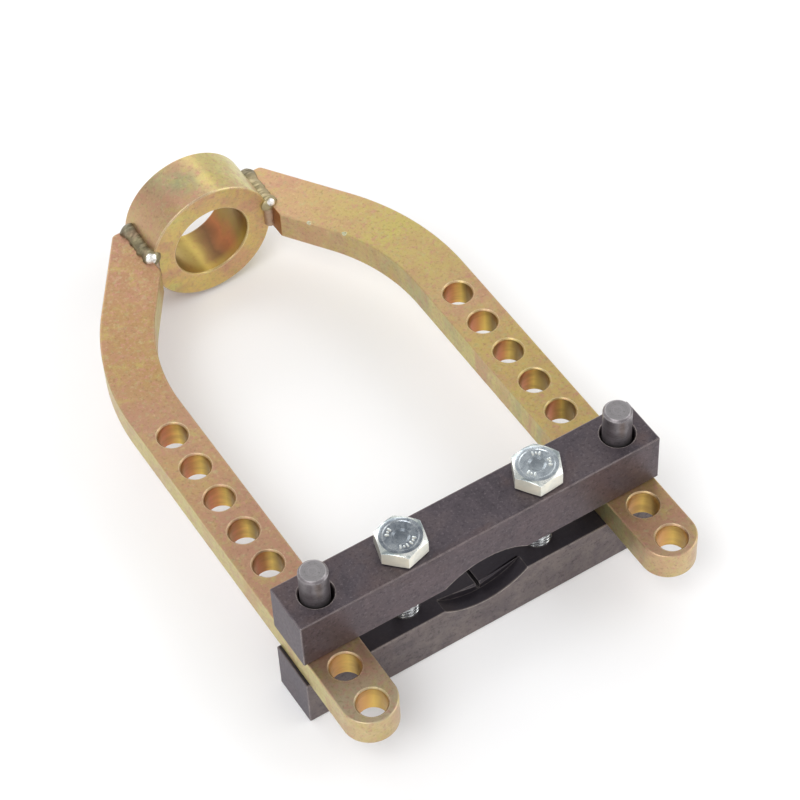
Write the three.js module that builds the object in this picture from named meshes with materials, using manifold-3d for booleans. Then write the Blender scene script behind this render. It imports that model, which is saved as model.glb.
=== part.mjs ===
// Universal drive-shaft joint puller: a welded frame of two bent arms and a collar ring, clamped at
// its open end between two notched jaw bars on guide pins, drawn together by two hexagon bolts.
//
// Millimetres, +Z up. X runs across the arms and Y from the jaws towards the collar. The origin is
// midway between the guide pins, level with the lower jaw's underside, on which the tool rests.

import * as THREE from 'three';
import { mergeVertices } from 'three/addons/utils/BufferGeometryUtils.js';
import Module from 'manifold-3d';

const wasm = await Module();
wasm.setup();

// ---- driving dimensions ----

const REST_GAP = 0.3;
const BOLT_HEAD_GAP = 0.2;
const CUT_OVERRUN = 1;

const HOLE_PITCH = 19.5;
const HOLES_PER_ARM = 9;
const HOLES_BEHIND_PIN = 6;

const ARM_SPACING = 140;
const ARM_WIDTH = 23.5;
const ARM_THICKNESS = 14;
const ARM_HOLE_RADIUS = 6.3;
const ARM_TIP_SETBACK = 2.4;
const ARM_BEND_START = 131.4;
const ARM_BEND_INNER_RADIUS = 85;
const ARM_BEND_ANGLE = THREE.MathUtils.degToRad(34.5);
const ARM_BACK_CUT = 229.6;
const ARM_BACK_CORNER_RADIUS = 2.5;

const RING_OUTER_RADIUS = 29.5;
const RING_BORE_RADIUS = 18;
const RING_FRONT = 208;
const RING_LENGTH = 26;
const RING_CHAMFER = 0.5;

const JAW_LENGTH = 166.5;
const JAW_DEPTH = 23;
const JAW_HEIGHT = 24.5;
const JAW_MIDDLE_Y = 0.4;
const JAW_PATTERN_X = 0.6;
const JAW_V_HALF_WIDTH = 18.9;
const JAW_V_DEPTH = 4;
const JAW_SLOT_WIDTH = 1.6;
const JAW_SLOT_DEPTH = 6.4;
const JAW_RECESS_RADIUS = 31;
const JAW_RECESS_HEIGHT = 7;
const JAW_RECESS_DEPTH = 6.7;

const PIN_RADIUS = 6;
const PIN_BOTTOM = 1;
const PIN_TOP = 79;
const PIN_CHAMFER = 1;
const PIN_SEAT_RADIUS = 6.3;
const PIN_CLEARANCE_RADIUS = 7.1;

const BOLT_SPACING = 63;
const BOLT_RADIUS = 6;
const BOLT_LENGTH = 60;
const BOLT_POINT_CHAMFER = 1.2;
const BOLT_ACROSS_FLATS = 19;
const BOLT_HEAD_HEIGHT = 7.8;
const BOLT_CROWN_RATIO = 0.92;
const BOLT_CROWN_SLOPE = Math.tan(THREE.MathUtils.degToRad(30));
const BOLT_DISH_RADIUS = 4.6;
const BOLT_DISH_DEPTH = 0.5;
const BOLT_CLEARANCE_RADIUS = 6.75;
const BOLT_THREAD_RADIUS = 6.3;
const LEFT_BOLT_TURN = THREE.MathUtils.degToRad(14.8);
const RIGHT_BOLT_TURN = THREE.MathUtils.degToRad(4.1);

const WELD_RADIUS = 4;
const UPPER_WELD_START = 206;
const LOWER_WELD_START = 210;
const WELD_END = 231;
const WELD_RIPPLES = 8;
const WELD_STEPS_PER_RIPPLE = 2;
const WELD_RIPPLE_HEIGHT = 0.07;
const WELD_END_SCALE = 0.72;
const WELD_ROOT_HEIGHT = 5.8;
const FRONT_WELD_RADIUS = 3;
const FRONT_WELD_HEIGHT = 10.8;

const HOLE_SEGMENTS = 32;
const RING_SEGMENTS = 64;
const RECESS_SEGMENTS = 96;
const ARC_SEGMENTS = 14;
const WELD_SEGMENTS = 14;

// ---- sizes that follow ----

const ARMS_BOTTOM = JAW_HEIGHT + REST_GAP;
const FRAME_MIDDLE = ARMS_BOTTOM + ARM_THICKNESS / 2;
const UPPER_JAW_BOTTOM = ARMS_BOTTOM + ARM_THICKNESS + REST_GAP;
const BOLT_SEAT = UPPER_JAW_BOTTOM + JAW_HEIGHT + BOLT_HEAD_GAP;
const ARM_END_X = RING_OUTER_RADIUS + REST_GAP;

// ---- materials ----

const yellowZinc = { color: 0xb99a5e, roughness: 0.38, metalness: 0.85 };
const weldMetal = { color: 0x8a8468, roughness: 0.5, metalness: 0.8 };
const blackOxide = { color: 0x3b3638, roughness: 0.55, metalness: 0.6 };
const groundSteel = { color: 0x77736f, roughness: 0.35, metalness: 0.95 };
const brightZinc = { color: 0xb4bcc0, roughness: 0.28, metalness: 0.95 };

// ---- solids ----

function positionsOnly(geometry) {
  geometry.deleteAttribute('normal');
  geometry.deleteAttribute('uv');
  return mergeVertices(geometry, 1e-4);
}

function withoutFlatTriangles(index) {
  const kept = [];
  for (let i = 0; i < index.length; i += 3) {
    const [a, b, c] = [index[i], index[i + 1], index[i + 2]];
    if (a !== b && b !== c && c !== a) kept.push(a, b, c);
  }
  return new Uint32Array(kept);
}

function solid(geometry) {
  const merged = positionsOnly(geometry);
  const vertProperties = new Float32Array(merged.attributes.position.array);
  const triVerts = withoutFlatTriangles(merged.index.array);
  return new wasm.Manifold(new wasm.Mesh({ numProp: 3, vertProperties, triVerts }));
}

function surface(body) {
  const { vertProperties, triVerts } = body.getMesh();
  const geometry = new THREE.BufferGeometry();
  geometry.setAttribute('position', new THREE.BufferAttribute(vertProperties, 3));
  geometry.setIndex(new THREE.BufferAttribute(triVerts, 1));
  geometry.computeVertexNormals();
  return geometry;
}

function block(xSize, ySize, zSize, x, y, z) {
  return solid(new THREE.BoxGeometry(xSize, ySize, zSize).translate(x, y, z));
}

function uprightCylinder(radius, height, x, y, zMiddle) {
  const geometry = new THREE.CylinderGeometry(radius, radius, height, HOLE_SEGMENTS);
  return solid(geometry.rotateX(Math.PI / 2).translate(x, y, zMiddle));
}

// A solid of revolution about Z from [radius, height] pairs that start and end on the axis.
function turned(profile, segments) {
  const points = profile.map(([radius, height]) => new THREE.Vector2(radius, height));
  return solid(new THREE.LatheGeometry(points, segments).rotateX(Math.PI / 2));
}

// A prism along Y whose section is drawn in X and Z.
function prismAlongY(points, length) {
  const shape = new THREE.Shape(points.map(([x, z]) => new THREE.Vector2(x, z)));
  const geometry = new THREE.ExtrudeGeometry(shape, { depth: length, bevelEnabled: false });
  return solid(geometry.rotateX(Math.PI / 2).translate(0, length / 2, 0));
}

// ---- frame ----

function armOutline() {
  const inner = (ARM_SPACING - ARM_WIDTH) / 2;
  const outer = inner + ARM_WIDTH;
  const holesBeforePin = HOLES_PER_ARM - HOLES_BEHIND_PIN - 1;
  const tipY = ARM_TIP_SETBACK - holesBeforePin * HOLE_PITCH;
  const bendX = inner - ARM_BEND_INNER_RADIUS;
  const bendOuterRadius = ARM_BEND_INNER_RADIUS + ARM_WIDTH;
  const slope = Math.tan(ARM_BEND_ANGLE);
  const innerEnd = {
    x: bendX + ARM_BEND_INNER_RADIUS * Math.cos(ARM_BEND_ANGLE),
    y: ARM_BEND_START + ARM_BEND_INNER_RADIUS * Math.sin(ARM_BEND_ANGLE),
  };
  const outerEnd = {
    x: bendX + bendOuterRadius * Math.cos(ARM_BEND_ANGLE),
    y: ARM_BEND_START + bendOuterRadius * Math.sin(ARM_BEND_ANGLE),
  };
  const backCornerX = outerEnd.x - (ARM_BACK_CUT - outerEnd.y) * slope;
  const cornerSetback = ARM_BACK_CORNER_RADIUS * Math.tan((Math.PI / 2 - ARM_BEND_ANGLE) / 2);
  const shape = new THREE.Shape();
  shape.moveTo(inner, tipY);
  shape.absarc(bendX, ARM_BEND_START, ARM_BEND_INNER_RADIUS, 0, ARM_BEND_ANGLE, false);
  shape.lineTo(ARM_END_X, innerEnd.y + (innerEnd.x - ARM_END_X) / slope);
  shape.lineTo(ARM_END_X, ARM_BACK_CUT);
  shape.lineTo(backCornerX - cornerSetback, ARM_BACK_CUT);
  shape.absarc(
    backCornerX - cornerSetback, ARM_BACK_CUT - ARM_BACK_CORNER_RADIUS,
    ARM_BACK_CORNER_RADIUS, Math.PI / 2, ARM_BEND_ANGLE, true,
  );
  shape.absarc(bendX, ARM_BEND_START, bendOuterRadius, ARM_BEND_ANGLE, 0, true);
  shape.lineTo(outer, tipY);
  shape.absarc(ARM_SPACING / 2, tipY, ARM_WIDTH / 2, 0, -Math.PI, true);
  return shape;
}

function armSolid() {
  const extrusion = { depth: ARM_THICKNESS, bevelEnabled: false, curveSegments: ARC_SEGMENTS };
  const geometry = new THREE.ExtrudeGeometry(armOutline(), extrusion);
  let arm = solid(geometry.translate(0, 0, -ARM_THICKNESS / 2));
  for (let hole = 0; hole < HOLES_PER_ARM; hole += 1) {
    const y = (HOLES_BEHIND_PIN - hole) * HOLE_PITCH;
    const height = ARM_THICKNESS + 2 * CUT_OVERRUN;
    arm = arm.subtract(uprightCylinder(ARM_HOLE_RADIUS, height, ARM_SPACING / 2, y, 0));
  }
  return arm;
}

function ringGeometry() {
  const c = RING_CHAMFER;
  const profile = [
    [RING_BORE_RADIUS + c, 0],
    [RING_OUTER_RADIUS - c, 0],
    [RING_OUTER_RADIUS, c],
    [RING_OUTER_RADIUS, RING_LENGTH - c],
    [RING_OUTER_RADIUS - c, RING_LENGTH],
    [RING_BORE_RADIUS + c, RING_LENGTH],
    [RING_BORE_RADIUS, RING_LENGTH - c],
    [RING_BORE_RADIUS, c],
    [RING_BORE_RADIUS + c, 0],
  ];
  const points = profile.map(([radius, along]) => new THREE.Vector2(radius, along));
  return surface(solid(new THREE.LatheGeometry(points, RING_SEGMENTS)));
}

// A rippled bead along Y in the corner between the ring and the end of an arm.
function weldGeometry(side, level, start) {
  const section = new THREE.Shape();
  section.absarc(0, 0, WELD_RADIUS, 0, 2 * Math.PI, false);
  const steps = WELD_RIPPLES * WELD_STEPS_PER_RIPPLE;
  const length = WELD_END - start;
  const extrusion = { depth: length, steps, bevelEnabled: false, curveSegments: WELD_SEGMENTS };
  const geometry = new THREE.ExtrudeGeometry(section, extrusion);
  const position = geometry.attributes.position;
  for (let i = 0; i < position.count; i += 1) {
    const along = position.getZ(i) / length;
    const ripple = 1 + WELD_RIPPLE_HEIGHT * Math.cos(2 * Math.PI * WELD_RIPPLES * along);
    const taper = 1 - (1 - WELD_END_SCALE) * (2 * along - 1) ** 4;
    position.setX(i, position.getX(i) * ripple * taper);
    position.setY(i, position.getY(i) * ripple * taper);
  }
  const x = side * (ARM_END_X - REST_GAP);
  const z = level * (ARM_THICKNESS / 2);
  const bead = solid(geometry.rotateX(Math.PI / 2).translate(x, WELD_END, z));
  const cutLength = 2 * RING_FRONT;
  const ringSpace = new THREE.CylinderGeometry(ARM_END_X, ARM_END_X, cutLength, RING_SEGMENTS);
  const armSpace = ARM_THICKNESS + 2 * REST_GAP;
  const armX = side * (ARM_END_X - REST_GAP + ARM_WIDTH / 2);
  const rootSpace = 2 * WELD_ROOT_HEIGHT;
  return surface(
    bead
      .subtract(solid(ringSpace.translate(0, RING_FRONT, 0)))
      .subtract(block(ARM_WIDTH, cutLength, armSpace, armX, RING_FRONT, 0))
      .subtract(block(cutLength, cutLength, rootSpace, 0, RING_FRONT, 0)),
  );
}

// A short upright bead in the corner between the ring's front face and the end of an arm.
function frontWeldGeometry(side) {
  const section = new THREE.Shape();
  section.moveTo(0, 0);
  section.absarc(0, 0, FRONT_WELD_RADIUS, Math.PI, 1.5 * Math.PI, false);
  const extrusion = { depth: FRONT_WELD_HEIGHT, bevelEnabled: false, curveSegments: WELD_SEGMENTS };
  const geometry = new THREE.ExtrudeGeometry(section, extrusion);
  const x = ARM_END_X - REST_GAP;
  const bead = solid(geometry.translate(x, RING_FRONT - REST_GAP, -FRONT_WELD_HEIGHT / 2));
  return surface(side > 0 ? bead : bead.mirror([1, 0, 0]));
}

// ---- clamp ----

// A jaw bar with its notch in the upper face, its underside at z = 0. The notch and the bolt holes
// are centred on patternX, and the pin holes are shifted from the bar's middle by pinHoles.x and .y.
function jawGeometry(patternX, pinHoles, boltHoleRadius) {
  const top = JAW_HEIGHT;
  const through = JAW_DEPTH + 2 * CUT_OVERRUN;
  const vee = [
    [patternX - JAW_V_HALF_WIDTH, top],
    [patternX, top - JAW_V_DEPTH],
    [patternX + JAW_V_HALF_WIDTH, top],
    [patternX + JAW_V_HALF_WIDTH, top + CUT_OVERRUN],
    [patternX - JAW_V_HALF_WIDTH, top + CUT_OVERRUN],
  ];
  const recessLength = JAW_RECESS_DEPTH + CUT_OVERRUN;
  const recess = new THREE.CylinderGeometry(
    JAW_RECESS_RADIUS, JAW_RECESS_RADIUS, recessLength, RECESS_SEGMENTS,
  );
  const recessY = -JAW_DEPTH / 2 - CUT_OVERRUN + recessLength / 2;
  const recessZ = top - JAW_RECESS_HEIGHT + JAW_RECESS_RADIUS;
  const slotZ = top - JAW_SLOT_DEPTH / 2;
  let jaw = block(JAW_LENGTH, JAW_DEPTH, JAW_HEIGHT, 0, 0, top / 2)
    .subtract(prismAlongY(vee, through))
    .subtract(solid(recess.translate(patternX, recessY, recessZ)))
    .subtract(block(JAW_SLOT_WIDTH, through, JAW_SLOT_DEPTH, patternX, 0, slotZ));
  const holeHeight = top + 2 * CUT_OVERRUN;
  for (const side of [-1, 1]) {
    const pinX = pinHoles.x + (side * ARM_SPACING) / 2;
    const boltX = patternX + (side * BOLT_SPACING) / 2;
    jaw = jaw
      .subtract(uprightCylinder(pinHoles.radius, holeHeight, pinX, pinHoles.y, top / 2))
      .subtract(uprightCylinder(boltHoleRadius, holeHeight, boltX, 0, top / 2));
  }
  return surface(jaw);
}

function pinGeometry() {
  const length = PIN_TOP - PIN_BOTTOM;
  const profile = [
    [0, 0],
    [PIN_RADIUS - PIN_CHAMFER, 0],
    [PIN_RADIUS, PIN_CHAMFER],
    [PIN_RADIUS, length - PIN_CHAMFER],
    [PIN_RADIUS - PIN_CHAMFER, length],
    [0, length],
  ];
  return surface(turned(profile, HOLE_SEGMENTS));
}

function hexagonPrism() {
  const cornerRadius = BOLT_ACROSS_FLATS / Math.sqrt(3);
  const corners = [];
  for (let corner = 0; corner < 6; corner += 1) {
    const angle = (corner * Math.PI) / 3;
    const x = cornerRadius * Math.cos(angle);
    corners.push(new THREE.Vector2(x, cornerRadius * Math.sin(angle)));
  }
  const extrusion = { depth: BOLT_HEAD_HEIGHT, bevelEnabled: false };
  return solid(new THREE.ExtrudeGeometry(new THREE.Shape(corners), extrusion));
}

// A hexagon bolt with its head above z = 0 and its shank below.
function boltGeometry() {
  const crownRadius = (BOLT_CROWN_RATIO * BOLT_ACROSS_FLATS) / 2;
  const blankRadius = BOLT_ACROSS_FLATS;
  const crownDrop = (blankRadius - crownRadius) * BOLT_CROWN_SLOPE;
  const crown = turned([
    [0, 0],
    [blankRadius, 0],
    [blankRadius, BOLT_HEAD_HEIGHT - crownDrop],
    [crownRadius, BOLT_HEAD_HEIGHT],
    [0, BOLT_HEAD_HEIGHT],
  ], RING_SEGMENTS);
  const shank = turned([
    [0, -BOLT_LENGTH],
    [BOLT_RADIUS - BOLT_POINT_CHAMFER, -BOLT_LENGTH],
    [BOLT_RADIUS, -BOLT_LENGTH + BOLT_POINT_CHAMFER],
    [BOLT_RADIUS, BOLT_HEAD_HEIGHT / 2],
    [0, BOLT_HEAD_HEIGHT / 2],
  ], HOLE_SEGMENTS);
  const dish = uprightCylinder(BOLT_DISH_RADIUS, 2 * BOLT_DISH_DEPTH, 0, 0, BOLT_HEAD_HEIGHT);
  return surface(hexagonPrism().intersect(crown).add(shank).subtract(dish));
}

// ---- assembly ----

function piece(name, geometry, finish) {
  const mesh = new THREE.Mesh(geometry, new THREE.MeshStandardMaterial(finish));
  mesh.name = name;
  return mesh;
}

function weldedFrame() {
  const frame = new THREE.Group();
  const ring = piece('collar_ring', ringGeometry(), yellowZinc);
  ring.position.y = RING_FRONT;
  const armGeometry = surface(armSolid());
  const rightArm = piece('right_arm', armGeometry, yellowZinc);
  const leftArm = piece('left_arm', armGeometry, yellowZinc);
  leftArm.rotation.y = Math.PI;
  frame.add(ring, leftArm, rightArm);
  for (const [sideName, side] of [['left', -1], ['right', 1]]) {
    const levels = [['upper', 1, UPPER_WELD_START], ['lower', -1, LOWER_WELD_START]];
    for (const [levelName, level, start] of levels) {
      const name = `weld_${sideName}_${levelName}`;
      frame.add(piece(name, weldGeometry(side, level, start), weldMetal));
    }
    frame.add(piece(`weld_${sideName}_front`, frontWeldGeometry(side), weldMetal));
  }
  frame.position.z = FRAME_MIDDLE;
  return frame;
}

function clamp() {
  const group = new THREE.Group();
  const pinSeats = { radius: PIN_SEAT_RADIUS, x: 0, y: -JAW_MIDDLE_Y };
  const pinClearances = { radius: PIN_CLEARANCE_RADIUS, x: -JAW_PATTERN_X, y: 0 };
  const lowerGeometry = jawGeometry(JAW_PATTERN_X, pinSeats, BOLT_THREAD_RADIUS);
  const upperGeometry = jawGeometry(-JAW_PATTERN_X, pinClearances, BOLT_CLEARANCE_RADIUS);
  const lowerJaw = piece('lower_jaw', lowerGeometry, blackOxide);
  lowerJaw.position.y = JAW_MIDDLE_Y;
  const upperJaw = piece('upper_jaw', upperGeometry, blackOxide);
  upperJaw.rotation.y = Math.PI;
  upperJaw.position.set(0, JAW_MIDDLE_Y, UPPER_JAW_BOTTOM + JAW_HEIGHT);
  group.add(lowerJaw, upperJaw);
  const sides = [['left', -1, LEFT_BOLT_TURN], ['right', 1, RIGHT_BOLT_TURN]];
  for (const [sideName, side, turn] of sides) {
    const pin = piece(`${sideName}_pin`, pinGeometry(), groundSteel);
    pin.position.set((side * ARM_SPACING) / 2, 0, PIN_BOTTOM);
    const bolt = piece(`${sideName}_bolt`, boltGeometry(), brightZinc);
    bolt.position.set(JAW_PATTERN_X + (side * BOLT_SPACING) / 2, JAW_MIDDLE_Y, BOLT_SEAT);
    bolt.rotation.z = turn;
    group.add(pin, bolt);
  }
  return group;
}

const puller = new THREE.Group();
puller.add(weldedFrame(), clamp());

export default puller;
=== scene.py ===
"""Drive shaft joint puller: finer meshes, finishes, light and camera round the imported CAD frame.

The frame is in metres, +Z up, with its origin under the lower jaw, midway between the pins. Meshes
are drawn in millimetres and scaled once, when each piece is made.
"""

import math

import bmesh
import bpy
from mathutils import Matrix, Vector, noise


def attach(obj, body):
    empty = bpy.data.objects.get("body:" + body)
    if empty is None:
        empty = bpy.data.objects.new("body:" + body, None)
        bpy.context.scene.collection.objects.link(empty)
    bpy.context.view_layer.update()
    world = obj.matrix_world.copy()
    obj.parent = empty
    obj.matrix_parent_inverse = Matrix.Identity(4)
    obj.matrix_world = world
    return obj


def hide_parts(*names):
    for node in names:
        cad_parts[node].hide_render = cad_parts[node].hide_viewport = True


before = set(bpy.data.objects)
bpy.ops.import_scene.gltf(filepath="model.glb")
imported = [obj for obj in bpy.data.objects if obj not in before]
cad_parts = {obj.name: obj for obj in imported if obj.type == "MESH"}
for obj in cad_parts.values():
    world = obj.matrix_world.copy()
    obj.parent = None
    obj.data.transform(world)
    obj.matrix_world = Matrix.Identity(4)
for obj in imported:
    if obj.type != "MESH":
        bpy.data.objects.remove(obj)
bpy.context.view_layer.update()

MM = 0.001
TAU = 2 * math.pi
SIDES = (("left", -1), ("right", 1))

# ---- dimensions in millimetres, as in the CAD, unless a comment says otherwise ----

MERGE_DISTANCE = 1e-4

HOLE_PITCH = 19.5
HOLES_PER_ARM = 9
HOLES_BEHIND_PIN = 6
ARM_SPACING = 140
ARM_WIDTH = 23.5
ARM_THICKNESS = 14
ARM_BORE_RADIUS = 6.2
ARM_HOLE_RIM = 0.7
ARM_TIP_SETBACK = 2.4
ARM_BEND_START = 131.4
ARM_BEND_INNER_RADIUS = 85
ARM_BEND_ANGLE = math.radians(34.5)
ARM_BACK_CUT = 229.6
ARM_BACK_CORNER_RADIUS = 2.5
ARM_END_X = 29.8
ARM_EDGE_RADIUS = 0.7
ARM_CORNER_RADIUS = 1.0
ARM_NICKS = [(37.9, 187.7), (47.5, 173.6)]
ARM_NICK_SIZE = (1.1, 0.7, 0.9)

RING_OUTER_RADIUS = 29.5
RING_BORE_RADIUS = 18
RING_FRONT = 208
RING_LENGTH = 26
RING_CHAMFER = 0.5
RING_EDGE_RADIUS = 0.35
FRAME_MIDDLE = 31.8
ARM_TOP = FRAME_MIDDLE + ARM_THICKNESS / 2

JAW_LENGTH = 166.5
JAW_DEPTH = 23
JAW_HEIGHT = 24.5
JAW_EDGE_RADIUS = 0.5
JAW_CORNER_RADIUS = 0.525
JAW_MIDDLE_Y = 0.4
JAW_PATTERN_X = 0.6
JAW_V_HALF_WIDTH = 18.9
JAW_V_DEPTH = 4
JAW_SLOT_WIDTH = 1.6
JAW_SLOT_DEPTH = 6.4
JAW_SLOT_CORNER = 0.5
JAW_RECESS_RADIUS = 31
JAW_RECESS_HEIGHT = 7
JAW_RECESS_DEPTH = 6.7
JAW_V_CHAMFER = 0.9
JAW_PIN_HOLE_RIM = 0.45
JAW_BOLT_HOLE_RIM = 0.3
UPPER_JAW_BOTTOM = 39.1

PIN_RADIUS = 6
PIN_BOTTOM = 1
PIN_TOP = 79
PIN_CHAMFER = 1
PIN_EDGE_RADIUS = 0.3
PIN_SEAT_RADIUS = 6.3
PIN_CLEARANCE_RADIUS = 7.1

BOLT_SPACING = 63
BOLT_RADIUS = 6
BOLT_PITCH = 1.75
BOLT_THREAD_DEPTH = 1.07
BOLT_LENGTH = 60
BOLT_NECK = 2.5
BOLT_SEAT = 63.8
BOLT_ACROSS_FLATS = 19
BOLT_HEAD_HEIGHT = 7.8
BOLT_CROWN_RADIUS = 8.74
BOLT_CHAMFER = math.radians(30)
BOLT_WASHER_RADIUS = 8.6
BOLT_WASHER_HEIGHT = 0.35
BOLT_UNDERSIDE_HEIGHT = 0.36
BOLT_UNDERSIDE_SLOPE = 0.12
# Radius, and height above the crown.
BOLT_DISH = [(0, -0.95), (2.7, -0.85), (3.7, -0.3), (6.9, -0.26), (7.35, 0.06), (7.7, 0.5), (0, 0.5)]
BOLT_DISH_RADIUS = 0.12
BOLT_NECK_INSETS = (0.35, 0.3)
BOLT_RUNOUT = 0.6
BOLT_CLEARANCE_RADIUS = 6.75
BOLT_TURNS = {"left": math.radians(14.8), "right": math.radians(4.1)}
# Degrees round the head, then each tick's degrees from its mark and half length.
BOLT_MARKS = {"left": (114, 238, 288), "right": (-26, 56, 209)}
TICKS = [(-15, 0.8), (0, 0.45), (15, 0.8)]
TICK_CIRCLE_RADIUS = 5.3
TICK_HALF_WIDTH = 0.36
TICK_HALF_HEIGHT = 0.4
TICK_CORNER_RADIUS = 0.25
TICK_EDGE_RADIUS = 0.15
TICK_SINK = 0.22
THREAD_CLEARANCE = 0.2
THREAD_LEAD_IN = 2.2
THREAD_MOUTH = 0.9
# The flank's rise over half a pitch, in thread depths, and how much of it the flat root takes off.
THREAD_STEEPNESS = 2.35
THREAD_ROOT = 0.55

UPPER_WELD_START = 205.2
LOWER_WELD_START = 209.6
WELD_END = 231.4
WELD_LEVEL = 6.5
WELD_RADIUS = 3.1
WELD_STRETCH = 1.16
WELD_SWAY = 0.5
WELD_RIPPLES = 7
WELD_RIPPLE_HEIGHT = 0.16
# Height, and the place and spread as shares of the bead's length.
WELD_LUMPS = [(0.5, 0.1, 0.06), (0.55, 0.88, 0.07)]
FRONT_WELD_HALF_HEIGHT = 5.6
FRONT_WELD_RADIUS = 2.8
FRONT_WELD_RIPPLE_HEIGHT = 0.05
FRONT_WELD_X = 29.2
FRONT_WELD_Y = RING_FRONT - 0.1
# The share of a bead's length that each round end takes.
BEAD_CAP = 0.12
BEAD_ROUGHNESS = 0.3


# ---- mesh tools ----


def circle(radius, count, turn=0.0):
    """Points of a circle, counterclockwise from +X."""
    steps = (turn + TAU * i / count for i in range(count))
    return [Vector((radius * math.cos(a), radius * math.sin(a))) for a in steps]


def rounded(points, radius, steps, closed=True):
    """A polyline with an arc in place of each corner, all of one radius or each of its own."""
    made = []
    count = len(points)
    radii = radius if isinstance(radius, list) else [radius] * count
    for i, point in enumerate(points):
        here = Vector(point)
        if not closed and i in (0, count - 1):
            made.append(here)
            continue
        back = Vector(points[i - 1]) - here
        ahead = Vector(points[(i + 1) % count]) - here
        half = back.angle(ahead) / 2
        trim = min(radii[i] / math.tan(half), 0.45 * back.length, 0.45 * ahead.length)
        arc_radius = trim * math.tan(half)
        start = here + back.normalized() * trim
        end = here + ahead.normalized() * trim
        bisector = (back.normalized() + ahead.normalized()).normalized()
        centre = here + bisector * (arc_radius / math.sin(half))
        sweep = (start - centre).angle(end - centre)
        for k in range(steps + 1):
            share = k / steps
            near = (start - centre) * math.sin((1 - share) * sweep)
            far = (end - centre) * math.sin(share * sweep)
            made.append(centre + (near + far) / math.sin(sweep))
    return made


def skin(mesh, lower, upper):
    """Faces between two rings of vertices; a ring of one vertex is a point on the axis."""
    count = max(len(lower), len(upper))
    for i in range(count):
        j = (i + 1) % count
        corners = [
            lower[i % len(lower)],
            lower[j % len(lower)],
            upper[j % len(upper)],
            upper[i % len(upper)],
        ]
        face = [v for n, v in enumerate(corners) if v not in corners[:n]]
        mesh.faces.new(face)


def lathe(profile, segments, closed=False):
    """A solid of revolution about Z from points of radius and height."""
    mesh = bmesh.new()
    rings = []
    for radius, height in profile:
        if radius == 0:
            rings.append([mesh.verts.new((0, 0, height))])
        else:
            rings.append([mesh.verts.new((p.x, p.y, height)) for p in circle(radius, segments)])
    following = rings[1:] + rings[:1] if closed else rings[1:]
    for lower, upper in zip(rings, following):
        skin(mesh, lower, upper)
    return outward(mesh)


def outward(mesh):
    """Turns every face of a closed mesh outwards."""
    bmesh.ops.recalc_face_normals(mesh, faces=mesh.faces)
    return mesh


def prism(outline, bottom, top):
    """An upright prism on an outline in X and Y."""
    mesh = bmesh.new()
    lower = [mesh.verts.new((p[0], p[1], bottom)) for p in outline]
    upper = [mesh.verts.new((p[0], p[1], top)) for p in outline]
    skin(mesh, lower, upper)
    mesh.faces.new(lower[::-1])
    mesh.faces.new(upper)
    return outward(mesh)


def plate(outline, half_height, edge_radius, steps=4):
    """A flat bar on a counterclockwise outline, with rounded edges above and below."""
    inward = []
    for i, point in enumerate(outline):
        before = (point - outline[i - 1]).normalized()
        after = (outline[(i + 1) % len(outline)] - point).normalized()
        left, right = Vector((-before.y, before.x)), Vector((-after.y, after.x))
        inward.append((left + right) / (1 + left.dot(right)))
    levels = []
    for k in range(steps + 1):
        angle = k / steps * math.pi / 2
        inset = edge_radius * (1 - math.sin(angle))
        levels.append((inset, half_height - edge_radius * (1 - math.cos(angle))))
    levels += [(inset, -height) for inset, height in reversed(levels)]
    mesh = bmesh.new()
    rings = []
    for inset, height in levels:
        shifted = [p + n * inset for p, n in zip(outline, inward)]
        rings.append([mesh.verts.new((p.x, p.y, height)) for p in shifted])
    for upper, lower in zip(rings, rings[1:]):
        skin(mesh, upper, lower)
    mesh.faces.new(rings[0])
    mesh.faces.new(rings[-1][::-1])
    return outward(mesh)


def moved(mesh, offset=(0, 0, 0), turn=0.0, axis="Z"):
    """The mesh turned about an axis through the origin and then shifted."""
    matrix = Matrix.Translation(offset) @ Matrix.Rotation(turn, 4, axis)
    bmesh.ops.transform(mesh, matrix=matrix, verts=mesh.verts)
    return mesh


def placed(name, data):
    """A new object in the scene on a mesh, a light or a camera."""
    made = bpy.data.objects.new(name, data)
    bpy.context.scene.collection.objects.link(made)
    return made


def mesh_object(name, mesh):
    """A new object in the scene that uses up a mesh."""
    data = bpy.data.meshes.new(name)
    mesh.to_mesh(data)
    mesh.free()
    return placed(name, data)


def combined(body, tool, operation="DIFFERENCE"):
    """The exact Boolean of two closed meshes; both are used up."""
    objects = [mesh_object("operand", mesh) for mesh in (body, tool)]
    modifier = objects[0].modifiers.new("combine", "BOOLEAN")
    modifier.solver = "EXACT"
    modifier.operation = operation
    modifier.object = objects[1]
    made = bmesh.new()
    made.from_object(objects[0], bpy.context.evaluated_depsgraph_get())
    for operand in objects:
        bpy.data.meshes.remove(operand.data)
    bmesh.ops.remove_doubles(made, verts=made.verts, dist=MERGE_DISTANCE)
    bmesh.ops.dissolve_degenerate(made, edges=made.edges, dist=MERGE_DISTANCE)
    return made


def hole_cutter(radius, half_height, rim, segments=96):
    """A through hole about Z whose rims are broken at 45 degrees and softened."""
    over = 1.0
    profile = [
        (0, -half_height - over),
        (radius + rim + over, -half_height - over),
        (radius, -half_height + rim),
        (radius, half_height - rim),
        (radius + rim + over, half_height + over),
        (0, half_height + over),
    ]
    softened = rounded(profile[1:-1], rim, 4, closed=False)
    return lathe([profile[0], *softened, profile[-1]], segments)


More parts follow.
